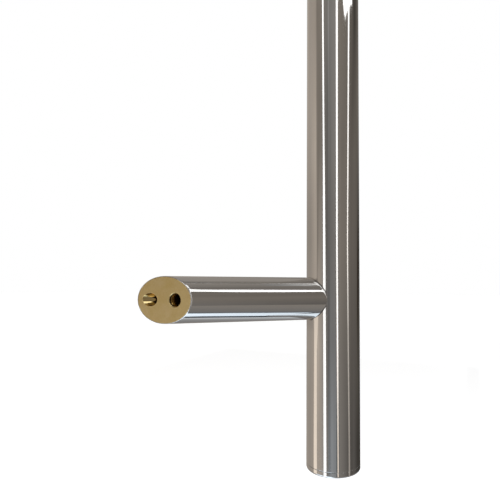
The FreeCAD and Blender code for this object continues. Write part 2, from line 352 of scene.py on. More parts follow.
def makePost(name, spec, side):
    foot = footCentre + up * side * layout["postHeight"] * mm
    rows = spec["wallRows"]
    outlines = []
    for turn in turnsOf(spec["around"]):
        saddleIn = postPoint(foot, turn, spec["bore"], alongAtGrip(turn, spec["bore"]))
        saddleOut = postPoint(foot, turn, spec["radius"], alongAtGrip(turn, spec["radius"]))
        footOut = postPoint(foot, turn, spec["radius"], alongAtDoor(turn, spec["radius"]))
        footIn = postPoint(foot, turn, spec["bore"], alongAtDoor(turn, spec["bore"]))
        blunt = bluntness(turn)
        inward = inwardness(turn, side, spec)
        shoulder = spec["buffedShoulder"] * (math.sin(turn) * blunt) ** 2 * inward
        wallReach = (blend(spec["buffedWallSharp"], spec["buffedWall"], blunt ** 2) + shoulder) * mm
        saddleReach = blend(spec["saddleEasing"], spec["saddleEasingInward"], inward) * mm
        rimReach = blend(spec["buffedRimSharp"], spec["buffedRim"], blunt) * mm
        start = easedEnd(saddleIn, saddleOut, footOut, spec["saddleDrop"] * mm, saddleReach,
                         spec["saddleSteps"], spec["saddleGuard"] * mm)
        end = softCorner(saddleOut, footOut, footIn, wallReach, spec["footSteps"],
                         spec["footGuard"] * mm, rimReach)
        wall = [start[-1].lerp(end[0], row / rows) for row in range(1, rows)]
        outlines.append([saddleIn, *start, *wall, *end, footIn])
    bm = bmesh.new()
    loftRings(bm, ringsFrom(outlines), closed=True)
    return meshObject(name, bm)


posts = []
for end, side in (("upper", 1), ("lower", -1)):
    tube = makePost(end + "PostTube", post, side)
    posts.append(ridesFor(tube, end + "_post"))
print("posts:", len(posts[0].data.polygons), "faces each")


# Brass slugs in the feet

brassSlug = {
    "radius": 12.15,
    "length": 26.0,           # inwards from the middle of the foot
    "backRing": 0.5,          # from the edge of its inner end to the next row
    "edgeEasing": 0.12,
    "edgeSteps": 4,
    "guard": 0.02,
    "around": 192,
    "boreAround": 96,
    "tapBore": 3.4,
    "tapMouth": 3.8,
    "tapDepth": 15.0,
    "tapLipLeast": 0.15,      # how wide the mouth's lip is on its blunt side
    "mouthEasing": 0.1,
    "threadDepth": 0.35,
    "threadPitch": 1.25,
    "threadShape": 0.8,       # below 1 the groove is wider than its crest
    "threadRows": 12,         # for each turn
    "threadStart": 0.5,
    "threadLength": 12.0,
    "plainBore": 3.4,
    "plainAcross": 9.3,       # from the middle of the foot, on the face
    "plainBottom": -5.424,    # along the post from the middle of the foot
    "plainRows": 4,
    "plainEasing": 0.1,
    "plainEasingSharp": 0.5,  # where the bore leaves a thin edge
    "plainSteps": 6,
    "drillPoint": 118.0,      # degrees
}


def drillTip(radius, angle):
    return radius / math.tan(math.radians(angle / 2))


def threadCut(phase, shape):
    # 1 at the root of the groove, 0 at its crest
    return (0.5 + 0.5 * math.cos(2 * math.pi * phase)) ** shape


def holePoint(centre, turn, radius, depth):
    return centre + Vector((math.cos(turn) * radius, -depth, math.sin(turn) * radius)) * mm


def tappedRings(foot, spec):
    centre = Vector((0, 0, foot.z))
    radius, mouth, tapDepth = spec["tapBore"], spec["tapMouth"], spec["tapDepth"]
    pitch, threadStart, threadLength = spec["threadPitch"], spec["threadStart"], spec["threadLength"]
    threadEnd = threadStart + threadLength
    rows = int(threadLength / pitch * spec["threadRows"])
    turns = turnsOf(spec["boreAround"])
    throats = [blend(radius, mouth - spec["tapLipLeast"], bluntness(t) ** 2) for t in turns]
    lip = Vector((mouth, 0.0))
    face = Vector((mouth + 1, 0.0))  # any place further out on the foot's face
    outlines = []
    for t, throat in zip(turns, throats):
        root = Vector((throat, mouth - throat))
        profile = softCorner(face, lip, root, spec["mouthEasing"], spec["edgeSteps"], spec["guard"])
        profile += [root, Vector((throat, threadStart))]
        outlines.append([holePoint(centre, t, point.x, point.y) for point in profile])
    rings = ringsFrom(outlines)
    for row in range(rows):
        depth = threadStart + threadLength * (row + 1) / rows
        fade = min(1, (depth - threadStart) / pitch, (threadEnd - depth) / pitch)
        ring = []
        for t, throat in zip(turns, throats):
            groove = threadCut(depth / pitch + t / (2 * math.pi), spec["threadShape"])
            runOut = radius if depth > threadEnd / 2 else throat  # what the thread fades into
            wall = blend(runOut, radius + spec["threadDepth"] * groove, fade)
            ring.append(holePoint(centre, t, wall, depth))
        rings.append(ring)
    rings.append([holePoint(centre, t, radius, tapDepth) for t in turns])
    tip = centre - Vector((0, tapDepth + drillTip(radius, spec["drillPoint"]), 0)) * mm
    return rings, tip


def plainRings(foot, spec):
    radius, bottom, rows = spec["plainBore"], spec["plainBottom"], spec["plainRows"]
    across = -spec["plainAcross"] * alongPost.x  # of the bore's axis from the post's
    axis = foot + acrossPost * across * mm
    outlines = []
    for turn in turnsOf(spec["boreAround"]):
        outward = acrossPost * math.cos(turn) + up * math.sin(turn)
        wall = axis + outward * radius * mm
        mouth = wall - alongPost * (wall.y / alongPost.y)
        inner = wall + alongPost * bottom * mm
        faceSide = mouth + Vector((outward.x / alongPost.x, 0, outward.z)) * mm
        faceSide.y = 0
        easing = blend(spec["plainEasing"], spec["plainEasingSharp"], bluntness(turn) ** 3) * mm
        outline = softCorner(faceSide, mouth, inner, easing, spec["plainSteps"], spec["guard"] * mm)
        start = outline[-1]
        outline += [start.lerp(inner, (row + 1) / rows) for row in range(rows)]
        outlines.append(outline)
    tip = axis + alongPost * (bottom - drillTip(radius, spec["drillPoint"])) * mm
    return ringsFrom(outlines), tip


def ringEdges(ring):
    edges = []
    for i in range(len(ring)):
        found = [edge for edge in ring[i].link_edges if ring[i - 1] in edge.verts]
        edges.append(found[0])
    return edges


threadSlot, boreSlot, rimSlot = 1, 2, 3  # of a slug's materials, after the face's


def makeBrassSlug(name, spec, side):
    foot = footCentre + up * side * layout["postHeight"] * mm
    middle = Vector((foot.x, 0, foot.z))
    outlines = []
    for turn in turnsOf(spec["around"]):
        back = postPoint(foot, turn, spec["radius"] - spec["backRing"], -spec["length"])
        inner = postPoint(foot, turn, spec["radius"], -spec["length"])
        rim = postPoint(foot, turn, spec["radius"], alongAtDoor(turn, spec["radius"]))
        edge = softCorner(inner, rim, middle, spec["edgeEasing"] * mm, spec["edgeSteps"],
                          spec["guard"] * mm)
        outlines.append([back, inner, *edge])
    bm = bmesh.new()
    shell = loftRings(bm, ringsFrom(outlines))
    closeRing(bm, shell[0], postPoint(foot, 0, 0, -spec["length"]))
    borders = ringEdges(shell[-1])
    rimDepth = (spec["tapMouth"] - spec["tapBore"]) * mm
    for slotNumber, makeRings in ((threadSlot, tappedRings), (boreSlot, plainRings)):
        rings, tip = makeRings(foot, spec)
        start = len(bm.faces)
        wall = loftRings(bm, rings)
        closeRing(bm, wall[-1], tip)
        bm.faces.ensure_lookup_table()
        for face in bm.faces[start:]:
            face.material_index = slotNumber
            if slotNumber == threadSlot and -face.calc_center_median().y < rimDepth:
                face.material_index = rimSlot
        borders += ringEdges(wall[0])
    bmesh.ops.triangle_fill(bm, use_beauty=True, use_dissolve=False, edges=borders)
    return meshObject(name, bm)


slugs = []
for end, side in (("upper", 1), ("lower", -1)):
    slug = makeBrassSlug(end + "BrassSlug", brassSlug, side)
    slugs.append(ridesFor(slug, end + "_foot_insert"))
print("brass slugs:", len(slugs[0].data.polygons), "faces each")


# Node helpers


def newGroup(name, inputs, outputs):
    group = bpy.data.node_groups.new(name, "ShaderNodeTree")
    for label, kind, value in inputs:
        socket = group.interface.new_socket(label, in_out="INPUT", socket_type="NodeSocket" + kind)
        if value is not None:
            socket.default_value = value
    for label, kind in outputs:
        group.interface.new_socket(label, in_out="OUTPUT", socket_type="NodeSocket" + kind)
    return group, group.nodes.new("NodeGroupInput"), group.nodes.new("NodeGroupOutput")


def feed(tree, socket, value):
    # value is another node's output or a plain number, vector or colour
    if isinstance(value, bpy.types.NodeSocket):
        tree.links.new(value, socket)
    else:
        socket.default_value = value


def addNode(tree, kind, settings=None, **inputs):
    node = tree.nodes.new("ShaderNode" + kind)
    for key, value in (settings or {}).items():
        setattr(node, key, value)
    for key, value in inputs.items():
        feed(tree, node.inputs[key.replace("_", " ")], value)
    return node


def placeGroup(tree, group, **inputs):
    return addNode(tree, "Group", {"node_tree": group}, **inputs)


def mathNode(tree, operation, *values):
    node = addNode(tree, "Math", {"operation": operation})
    for socket, value in zip(node.inputs, values):
        feed(tree, socket, value)
    return node.outputs[0]


def vectorNode(tree, operation, *values):
    # puts out a number for a length or a dot product, and otherwise a vector
    node = addNode(tree, "VectorMath", {"operation": operation})
    for socket, value in zip(node.inputs, values):
        feed(tree, socket, value)
    return node.outputs["Value" if operation in ("LENGTH", "DOT_PRODUCT") else "Vector"]


def mixNode(tree, kind, factor, first, second, way="MIX"):
    node = addNode(tree, "Mix", {"data_type": kind, "blend_type": way}, Factor=factor)
    start, result = (2, 0) if kind == "FLOAT" else (6, 2)  # where this kind's sockets are
    feed(tree, node.inputs[start], first)
    feed(tree, node.inputs[start + 1], second)
    return node.outputs[result]


def rangeNode(tree, value, given, wanted, smooth=False):
    # given and wanted are pairs, for the two ends of a range
    node = addNode(tree, "MapRange", {"interpolation_type": "SMOOTHSTEP" if smooth else "LINEAR"},
                   Value=value, From_Min=given[0], From_Max=given[1], To_Min=wanted[0], To_Max=wanted[1])
    return node.outputs[0]


def newMaterial(name):
    material = bpy.data.materials.new(name)
    material.use_nodes = True
    tree = material.node_tree
    tree.nodes.clear()
    output = tree.nodes.new("ShaderNodeOutputMaterial")
    return material, tree, output


# Polishing lines: hair-fine, round a tube whose axis is the Z of Position

polishing = {
    "fineness": 5200.0,  # noise scale of the fine lines
    "run": 0.03,         # 1 is as long as wide, less is longer round the tube
    "broadScale": 0.11,  # of the broad lines, as a share of the fine lines' scale
    "broadShare": 0.35,  # of the broad lines in the mix
}


def makePolishGroup(spec):
    group, given, result = newGroup("polishLines", [
        ("Position", "Vector", None),
        ("Fineness", "Float", spec["fineness"]),
        ("Run", "Float", spec["run"]),
        ("Depth", "Float", 1.0),
    ], [("Height", "Float"), ("Lines", "Float")])
    run, fineness = given.outputs["Run"], given.outputs["Fineness"]
    stretch = addNode(group, "CombineXYZ", X=run, Y=run, Z=1.0).outputs[0]
    stretched = vectorNode(group, "MULTIPLY", given.outputs["Position"], stretch)
    fine = addNode(group, "TexNoise", Vector=stretched, Scale=fineness, Detail=2.0, Roughness=0.6)
    broadScale = mathNode(group, "MULTIPLY", fineness, spec["broadScale"])
    broad = addNode(group, "TexNoise", Vector=stretched, Scale=broadScale, Detail=1.0)
    both = mixNode(group, "FLOAT", spec["broadShare"], fine.outputs[0], broad.outputs[0])
    deep = mathNode(group, "MULTIPLY", both, given.outputs["Depth"])
    group.links.new(deep, result.inputs["Height"])
    group.links.new(both, result.inputs["Lines"])
    return group


# Smudges: soft cloudy patches left by wiping and handling

smudging = {
    "size": 28.0,        # noise scale of the clouds
    "contrast": 0.5,
    "speckScale": 9.0,   # of the specks, as a multiple of the clouds' scale
    "speckShare": 0.25,  # of the specks in the mix
    "spread": 4.0,       # how far contrast pulls the clouds apart
}


def makeSmudgeGroup(spec):
    group, given, result = newGroup("wipedSmudges", [
        ("Position", "Vector", None),
        ("Size", "Float", spec["size"]),
        ("Contrast", "Float", spec["contrast"]),
    ], [("Mask", "Float")])
    place, size = given.outputs["Position"], given.outputs["Size"]
    cloud = addNode(group, "TexNoise", Vector=place, Scale=size, Detail=4.0, Roughness=0.55, Distortion=0.6)
    speckScale = mathNode(group, "MULTIPLY", size, spec["speckScale"])
    speck = addNode(group, "TexNoise", Vector=place, Scale=speckScale, Detail=2.0)
    both = mixNode(group, "FLOAT", spec["speckShare"], cloud.outputs[0], speck.outputs[0])
    centred = mathNode(group, "SUBTRACT", both, 0.5)
    spread = mathNode(group, "MULTIPLY", centred, given.outputs["Contrast"])
    mask = mathNode(group, "ADD", mathNode(group, "MULTIPLY", spread, spec["spread"]), 0.5)
    clamped = addNode(group, "Clamp", Value=mask)
    group.links.new(clamped.outputs[0], result.inputs["Mask"])
    return group


# Painted shade and grime: a dark hairline painted into the seams of the caps and where the posts meet the
# grip, for the shadow in the gap and some dirt there

seamShadeAndGrime = {
    "capWidth": 0.24,
    "patchScale": 70.0,           # noise scale of the patches along the caps' seams
    "patchRange": (0.40, 0.60),
    "patchShares": (0.15, 1.0),   # how dark they are, least and most
    "saddleWidth": 0.42,
    "lineFreeHeights": (3.0, 4.5),   # no painted line beside the post's middle line, up to here
    "fadedHeights": (9.0, 11.0),  # and fades towards its top and bottom
    "fadedShare": 0.3,
}


def nearness(group, value, target, width):
    gap = mathNode(group, "ABSOLUTE", mathNode(group, "SUBTRACT", value, target))
    return rangeNode(group, gap, (0.0, width), (1.0, 0.0), smooth=True)


def makeSeamShadeAndGrimeGroup(spec):
    group, given, result = newGroup("seamShadeAndGrime", [("Position", "Vector", None)], [("Mask", "Float")])
    place = given.outputs["Position"]
    height = mathNode(group, "ABSOLUTE", addNode(group, "SeparateXYZ", Vector=place).outputs["Z"])
    patches = addNode(group, "TexNoise", Vector=place, Scale=spec["patchScale"], Detail=1.0)
    patchy = rangeNode(group, patches.outputs[0], spec["patchRange"], spec["patchShares"])
    capSeam = nearness(group, height, layout["tubeEnd"] * mm, spec["capWidth"] * mm)
    capSeam = mathNode(group, "MULTIPLY", capSeam, patchy)

    width = spec["saddleWidth"] * mm
    fromGrip = vectorNode(group, "SUBTRACT", place, gripAxis)
    level = vectorNode(group, "MULTIPLY", fromGrip, (1.0, 1.0, 0.0))
    onGrip = nearness(group, vectorNode(group, "LENGTH", level), gripTube["radius"] * mm, width)
    across = vectorNode(group, "DOT_PRODUCT", fromGrip, acrossPost)
    along = vectorNode(group, "DOT_PRODUCT", fromGrip, alongPost)
    rise = mathNode(group, "SUBTRACT", height, layout["postHeight"] * mm)
    offPost = addNode(group, "CombineXYZ", X=across, Y=rise, Z=0.0).outputs[0]
    onPost = nearness(group, vectorNode(group, "LENGTH", offPost), post["radius"] * mm, width)
    facing = mathNode(group, "GREATER_THAN", along, 0.0)
    offMiddle = mathNode(group, "ABSOLUTE", rise)
    lineFree, faded = ([edge * mm for edge in spec[key]] for key in ("lineFreeHeights", "fadedHeights"))
    beyondLineFree = rangeNode(group, offMiddle, lineFree, (0.0, 1.0), smooth=True)
    beyondFaded = rangeNode(group, offMiddle, faded, (1.0, spec["fadedShare"]), smooth=True)
    saddleLineStrength = mathNode(group, "MULTIPLY", mathNode(group, "MULTIPLY", beyondLineFree, beyondFaded), facing)
    saddle = mathNode(group, "MULTIPLY", mathNode(group, "MULTIPLY", onGrip, onPost), saddleLineStrength)
    group.links.new(mathNode(group, "MAXIMUM", capSeam, saddle), result.inputs["Mask"])
    return group


polishLines = makePolishGroup(polishing)
wipedSmudges = makeSmudgeGroup(smudging)
seamShadeAndGrimeGroup = makeSeamShadeAndGrimeGroup(seamShadeAndGrime)


# Steel

steelLook = {
    "bright": (0.74, 0.73, 0.715),
    "dull": (0.69, 0.68, 0.67),
    # colour of the painted shade and grime in the seams
    "shadeAndGrime": (0.035, 0.03, 0.026),
    "roughness": (0.05, 0.11),
    "streaks": (0.1, 0.6),     # polishing lines times smudges, from smooth to rough
    "smudgeSize": 22.0,
    "smudgeContrast": 0.55,
    "lineDepth": 0.12,
    "reliefStrength": 0.08,
    "reliefDepth": 0.00002,    # metres
}
postLook = {**steelLook, "bright": (0.665, 0.655, 0.642), "dull": (0.62, 0.61, 0.60)}
turnedLook = {
    **steelLook, "bright": (0.58, 0.58, 0.58), "dull": (0.50, 0.50, 0.50), "roughness": (0.28, 0.42),
}
zincLook = {
    **steelLook, "bright": (0.52, 0.52, 0.53), "dull": (0.44, 0.44, 0.46), "roughness": (0.35, 0.5),
}


def metalShader(tree, output, colour, roughness, normal):
    shader = addNode(tree, "BsdfPrincipled", Metallic=1.0, Base_Color=colour, Roughness=roughness,
                     Normal=normal)
    tree.links.new(shader.outputs[0], output.inputs["Surface"])


def tint(value):
    return (*value, 1.0)


def steelMaterial(name, look, turned=0, fineness=polishing["fineness"], run=polishing["run"]):
    # turned is the angle in degrees from +Y to a level tube's axis, and 0 for an upright tube
    material, tree, output = newMaterial(name)
    place = addNode(tree, "TexCoord").outputs["Object"]
    # mask of the dark hairline of painted shade, with some grime, in the seams
    shadeAndGrime = placeGroup(tree, seamShadeAndGrimeGroup, Position=place).outputs["Mask"]
    if turned:
        for axis, angle in (("Z_AXIS", turned), ("X_AXIS", 90)):
            place = addNode(tree, "VectorRotate", {"rotation_type": axis}, Vector=place,
                            Angle=math.radians(angle)).outputs[0]
    lines = placeGroup(tree, polishLines, Position=place, Fineness=fineness, Run=run,
                       Depth=look["lineDepth"])
    smudges = placeGroup(tree, wipedSmudges, Position=place, Size=look["smudgeSize"],
                         Contrast=look["smudgeContrast"]).outputs["Mask"]
    colour = mixNode(tree, "RGBA", smudges, tint(look["bright"]), tint(look["dull"]))
    darkenedAtSeams = mixNode(tree, "RGBA", shadeAndGrime, colour, tint(look["shadeAndGrime"]))
    streaks = mathNode(tree, "MULTIPLY", lines.outputs["Lines"], smudges)
    rough = rangeNode(tree, streaks, look["streaks"], look["roughness"])
    relief = addNode(tree, "Bump", Height=lines.outputs["Height"], Strength=look["reliefStrength"],
                     Distance=look["reliefDepth"])
    metalShader(tree, output, darkenedAtSeams, rough, relief.outputs[0])
    return material


gripSteel = steelMaterial("gripSteel", steelLook)
capSteel = steelMaterial("capSteel", steelLook, run=1.0, fineness=2600.0)
postSteel = steelMaterial("postSteel", postLook, turned=45)
turnedSteel = steelMaterial("turnedSteel", turnedLook)
zincSteel = steelMaterial("zincSteel", zincLook)


# Brass

brassLook = {
    "fresh": (0.70, 0.56, 0.29),
    "toned": (0.62, 0.465, 0.205),
    "roughness": (0.04, 0.08),
    "smudgeSize": 110.0,
    "smudgeContrast": 0.7,
    "lineRun": 0.12,
    "lineFineness": 4000.0,
    "lineDepth": 0.3,
    "reliefStrength": 0.06,
    "reliefDepth": 0.00003,  # metres
    "shades": [],
}
faceLook = {
    **brassLook, "fresh": (0.63, 0.50, 0.262), "toned": (0.55, 0.405, 0.168), "roughness": (0.34, 0.46),
    "lineFineness": 3000.0, "lineDepth": 0.5, "reliefStrength": 0.25,
}
rimLook = {**brassLook, "roughness": (0.20, 0.28), "reliefStrength": 0.1}
threadLook = {
    **brassLook,
    # shade down the tapped hole: depth in metres below the foot, and the share of the colour left
    "shades": [(0.0004, (1.0, 1.0, 1.0)), (0.0010, (0.78, 0.68, 0.54)), (0.0028, (0.68, 0.58, 0.44)),
               (0.0044, (0.10, 0.075, 0.05))],
}


def shadedDown(tree, place, colour, shades):
    deepest = shades[-1][0]
    depth = addNode(tree, "SeparateXYZ", Vector=place).outputs["Y"]
    shade = addNode(tree, "ValToRGB", Fac=mathNode(tree, "MULTIPLY", depth, -1 / deepest))
    stops = shade.color_ramp.elements
    while len(stops) < len(shades):
        stops.new(0.5)
    for stop, (below, left) in zip(stops, shades):
        stop.position = below / deepest
        stop.color = tint(left)
    return mixNode(tree, "RGBA", 1.0, colour, shade.outputs[0], "MULTIPLY")


def brassMaterial(name, look):
    material, tree, output = newMaterial(name)
    place = addNode(tree, "TexCoord").outputs["Object"]
    lines = placeGroup(tree, polishLines, Position=place, Fineness=look["lineFineness"],
                       Run=look["lineRun"], Depth=look["lineDepth"]).outputs["Height"]
    smudges = placeGroup(tree, wipedSmudges, Position=place, Size=look["smudgeSize"],
                         Contrast=look["smudgeContrast"]).outputs["Mask"]
    colour = mixNode(tree, "RGBA", smudges, tint(look["fresh"]), tint(look["toned"]))
    rough = rangeNode(tree, smudges, (0.0, 1.0), look["roughness"])
    if look["shades"]:
        colour = shadedDown(tree, place, colour, look["shades"])
    relief = addNode(tree, "Bump", Height=lines, Strength=look["reliefStrength"],
                     Distance=look["reliefDepth"])
    metalShader(tree, output, colour, rough, relief.outputs[0])
    return material


brassFace = brassMaterial("brassFace", faceLook)
brassThread = brassMaterial("brassThread", threadLook)
brassBore = brassMaterial("brassBore", brassLook)
brassRim = brassMaterial("brassRim", rimLook)


def wear(piece, *materials):
    # only for a mesh without materials, because clearing them would reset each face's slot
    for material in materials:
        piece.data.materials.append(material)


wear(grip, gripSteel)
for cap in caps:
    wear(cap, capSteel)
for tube in posts:
    wear(tube, postSteel)
for slug in slugs:
    wear(slug, brassFace, brassThread, brassBore, brassRim)

innerMaterials = {"saddle_plug": turnedSteel, "grip_nut": turnedSteel,
                  "joint_washer": zincSteel, "joint_screw": zincSteel}
for end in ("upper_", "lower_"):
    for kind, material in innerMaterials.items():
        nodes[end + kind].material_slots[0].material = material
print("materials on")


# Studio: tones on a round wall, a ceiling and the floor, which only reflections see

studio = {
    "stripRadius": 1.7,
    "floorHeight": -1.2,
    # the wall's rings: height, radius, and which of a column's levels it shows
    "rings": [(-1.2, 1.9, 0), (-0.98, 1.9, 0), (-0.5, 1.9, 1), (0.03, 1.9, 2), (0.73, 2.6, 3),
              (1.385, 3.3, 4), (2.83, 4.5, 5), (3.4, 4.8, 5)],
    "lowWarmthLevels": 2,  # over how many levels the warmth near the floor gives way to the wall's
    "wallStep": 6,         # about how many degrees apart the wall's points stand
    # the wall's columns: azimuth from +Y towards +X, warmth, warmth near the floor, then six levels
    # from low to high
    "wall": [
        (180, 0.05, 0.05, 0.08, 0.08, 0.075, 0.14, 0.16, 0.169),
        (165, 0.08, 0.08, 0.2, 0.2, 0.16, 0.2, 0.22, 0.223),
        (130, 0.13, 0.13, 0.37, 0.35, 0.31, 0.41, 0.45, 0.445),
        (115, 0.13, 0.13, 0.34, 0.35, 0.3, 0.37, 0.38, 0.365),
        (96, 0.13, 0.13, 0.33, 0.354, 0.31, 0.39, 0.41, 0.365),
        (88, 0.13, 0.13, 0.35, 0.365, 0.33, 0.42, 0.42, 0.374),
        (81, 0.14, 0.14, 0.36, 0.385, 0.36, 0.445, 0.42, 0.374),
        (75, 0.14, 0.14, 0.36, 0.39, 0.38, 0.45, 0.43, 0.374),
        (68, 0.14, 0.14, 0.37, 0.4, 0.415, 0.48, 0.44, 0.365),
        (62, 0.14, 0.14, 0.38, 0.41, 0.43, 0.5, 0.45, 0.347),
        (57, 0.14, 0.14, 0.39, 0.41, 0.43, 0.33, 0.27, 0.223),
        (52, 0.14, 0.14, 0.4, 0.5, 0.19, 0.2, 0.205, 0.214),
        (47, 0.14, 0.14, 0.4, 0.5, 0.28, 0.21, 0.21, 0.223),
        (42, 0.14, 0.14, 0.39, 0.445, 0.305, 0.215, 0.2, 0.223),
        (32, 0.12, 0.12, 0.37, 0.39, 0.3, 0.22, 0.21, 0.231),
        (22, 0.08, 0.08, 0.3, 0.3, 0.28, 0.2, 0.2, 0.223),
        (9, 0.06, 0.06, 0.22, 0.2, 0.125, 0.15, 0.17, 0.214),
        (5, 0.05, 0.05, 0.22, 0.17, 0.144, 0.14, 0.14, 0.214),
        (0, 0.03, -0.05, 0.23, 0.12, 0.16, 0.2, 0.23, 0.34),
        (-4, 0.05, -0.05, 0.22, 0.18, 0.17, 0.2, 0.21, 0.22),
        (-8, 0.05, -0.05, 0.29, 0.225, 0.18, 0.18, 0.21, 0.235),
        (-12, 0.05, -0.05, 0.335, 0.22, 0.19, 0.22, 0.23, 0.24),
        (-25, 0.06, -0.05, 0.29, 0.215, 0.22, 0.25, 0.25, 0.258),
        (-29, 0.073, -0.05, 0.29, 0.216, 0.218, 0.243, 0.242, 0.25),
        (-33, 0.085, -0.05, 0.12, 0.217, 0.216, 0.235, 0.234, 0.242),
        (-47, 0.13, 0.08, 0.215, 0.22, 0.232, 0.21, 0.205, 0.214),
        (-56, 0.13, 0.08, 0.195, 0.2, 0.215, 0.185, 0.2, 0.196),
        (-65, 0.13, 0.08, 0.17, 0.18, 0.21, 0.18, 0.19, 0.187),
        (-75, 0.13, 0.08, 0.14, 0.17, 0.2, 0.19, 0.18, 0.178),
        (-82, 0.13, 0.08, 0.12, 0.157, 0.179, 0.174, 0.167, 0.166),
        (-102, 0.13, 0.08, 0.095, 0.12, 0.146, 0.13, 0.13, 0.134),
        (-114, 0.13, 0.08, 0.11, 0.12, 0.149, 0.135, 0.105, 0.116),
        (-128, 0.13, 0.08, 0.078, 0.112, 0.14, 0.147, 0.12, 0.06),
        (-146, 0.13, 0.13, 0.048, 0.108, 0.11, 0.13, 0.134, 0.08),
        (-158, 0.13, 0.13, 0.05, 0.06, 0.035, 0.135, 0.17, 0.135),
        (-180, 0.05, 0.05, 0.08, 0.08, 0.075, 0.14, 0.16, 0.169),
    ],
    # strips: height, azimuth from and to, level, warmth
    "strips": {
        "keyStrip": [
            (-1.19, 10.2, 21.8, 1.8, 0.0), (-0.9, 11.1, 22.3, 1.8, 0.0), (0.01, 15.0, 24.3, 1.8, 0.0),
            (0.434, 18.2, 25.3, 1.8, 0.0), (1.04, 22.2, 28.4, 1.8, 0.0), (1.6, 24.6, 30.5, 1.8, 0.0),
        ],
        "secondStrip": [
            (-1.19, -41, -36, 0.8, 0.13), (-0.895, -40.4, -35.5, 0.9, 0.13),
            (-0.45, -39.2, -33.6, 1.7, 0.05), (0.01, -37.8, -31.9, 1.8, 0.0),
            (1.03, -40.0, -31.9, 1.8, 0.0), (1.6, -41, -32.6, 1.8, 0.0),
        ],
        "thirdStrip": [
            (-1.19, -93.5, -85.6, 0.33, 0.1), (-0.894, -91.6, -85, 0.41, 0.1),
            (-0.4, -87.2, -81.4, 0.61, 0.08), (0.01, -84.8, -80.4, 1.6, 0.05),
            (1.03, -96.4, -88.7, 1.6, 0.0), (1.6, -103, -94, 1.6, 0.0),
        ],
        "beigeBand": [
            (-1.19, 54, 72, 0.93, 0.15), (-0.902, 54.5, 72, 0.93, 0.15), (-0.5, 55, 70, 0.88, 0.15),
            (-0.42, 51, 70, 0.82, 0.15), (-0.3, 47, 70, 0.78, 0.15), (-0.22, 47, 70, 0.74, 0.15),
        ],
        "darkBand": [
            (-0.62, -149, -142, 0.09, 0.13), (-0.5, -150, -142, 0.062, 0.15), (-0.4, -151, -142, 0.05, 0.2),
            (-0.33, -152, -142, 0.03, 0.28), (-0.2, -154, -143, 0.03, 0.28),
            (-0.07, -156, -144.5, 0.038, 0.25), (0.01, -158, -146, 0.05, 0.2),
            (0.12, -159, -148, 0.07, 0.15), (0.2, -159, -150, 0.095, 0.13),
        ],
    },
    # floor sheet: x, level and warmth up to its far edge, then from its near edge on, where x is 0
    "sheetFar": [(-5.5, 0.25, 0.12), (-1.6, 0.27, 0.10), (-1.1, 0.265, 0.08), (-0.8, 0.24, 0.06),
                 (-0.6, 0.225, 0.02), (-0.5, 0.19, -0.08), (-0.455, 0.15, -0.08), (-0.445, 1.25, -0.12)],
    "sheetNear": [(0.0, 1.35, -0.13), (0.01, 0.08, -0.15), (0.15, 0.08, -0.15), (0.16, 0.80, -0.05),
                  (0.26, 0.62, -0.03), (0.36, 0.42, -0.01), (0.50, 0.33, 0.0), (0.75, 0.28, 0.02),
                  (1.2, 0.26, 0.05), (3.6, 0.26, 0.05)],
    # its edges and brightness change along y: y, near edge, shift of the far edge, brightness
    "sheetEdge": [(-5.5, -0.22, -0.12, 1.0), (-0.5, -0.22, -0.12, 1.0), (-0.3, -0.21, -0.08, 1.0),
                  (-0.08, -0.17, -0.02, 1.0), (0.03, -0.083, 0.004, 1.08), (0.14, 0.004, 0.052, 1.17),
                  (0.45, 0.25, 0.085, 1.4), (0.75, 1.6, 0.085, 1.4), (5.5, 1.6, 0.085, 1.4)],
    "shiftFrom": -0.7,    # x from which the far edge's points shift
    "brightenFrom": 1.0,  # level above which brightness counts
    "sheetLift": 0.01,    # above the floor
    # the ceiling's bands, along a level direction: distance, level
    "ceiling": [(-9.0, 0.21), (-1.9, 0.21), (-1.6, 0.255), (-1.14, 0.27), (-0.72, 0.285), (-0.40, 0.32),
                (-0.10, 0.33), (0.10, 0.255), (0.40, 0.26), (0.65, 0.29), (0.85, 0.36), (9.0, 0.36)],
    "ceilingHeight": 3.4,
    "ceilingReach": 9.0,
    "ceilingTurn": 122.7,  # azimuth of that direction
    "ceilingWarmth": 0.09,
    # the lights overhead: x and y of the near edge, x and y of the far edge, level
    "overhead": {
        "overheadStrip": [
            (-1.40, 1.36, -2.70, 2.60, 2.2), (-1.72, 1.10, -2.62, 1.80, 2.2),
            (-2.06, 1.19, -2.75, 1.72, 2.2), (-2.35, 0.95, -3.36, 1.62, 2.2),
            (-2.72, 0.71, -3.78, 1.32, 2.2), (-3.15, 0.44, -3.98, 0.95, 2.2),
            (-3.20, 0.10, -3.98, 0.50, 2.2), (-3.30, -0.60, -4.00, -0.30, 2.2),
            (-2.90, -1.50, -3.60, -1.60, 2.2),
        ],
        "overheadSlip": [
            (-0.95, -0.36, -1.15, -0.22, 0.27), (-1.05, -0.55, -1.35, -0.30, 0.4),
            (-1.10, -0.75, -1.50, -0.40, 0.6), (-1.15, -0.95, -1.60, -0.60, 0.75),
        ],
        "overheadPanel": [
            (-1.35, 0.85, -1.35, 1.75, 1.6), (-0.95, 0.60, -0.95, 2.00, 1.6),
            (-0.60, 0.50, -0.60, 2.10, 1.6), (-0.55, 1.40, -0.50, 2.15, 1.6),
            (0.60, 1.45, 0.60, 2.40, 1.6),
        ],
    },
    "overheadHeight": 2.6,
}


def toneOf(level, warmth):
    return (level * (1 + warmth), level, level * (1 - warmth), 1.0)


def toneMaterial():
    material, tree, output = newMaterial("studioTone")
    tone = addNode(tree, "VertexColor", {"layer_name": "tone"})
    glow = addNode(tree, "Emission", Color=tone.outputs["Color"], Strength=1.0)
    tree.links.new(glow.outputs[0], output.inputs["Surface"])
    return material


studioTone = toneMaterial()


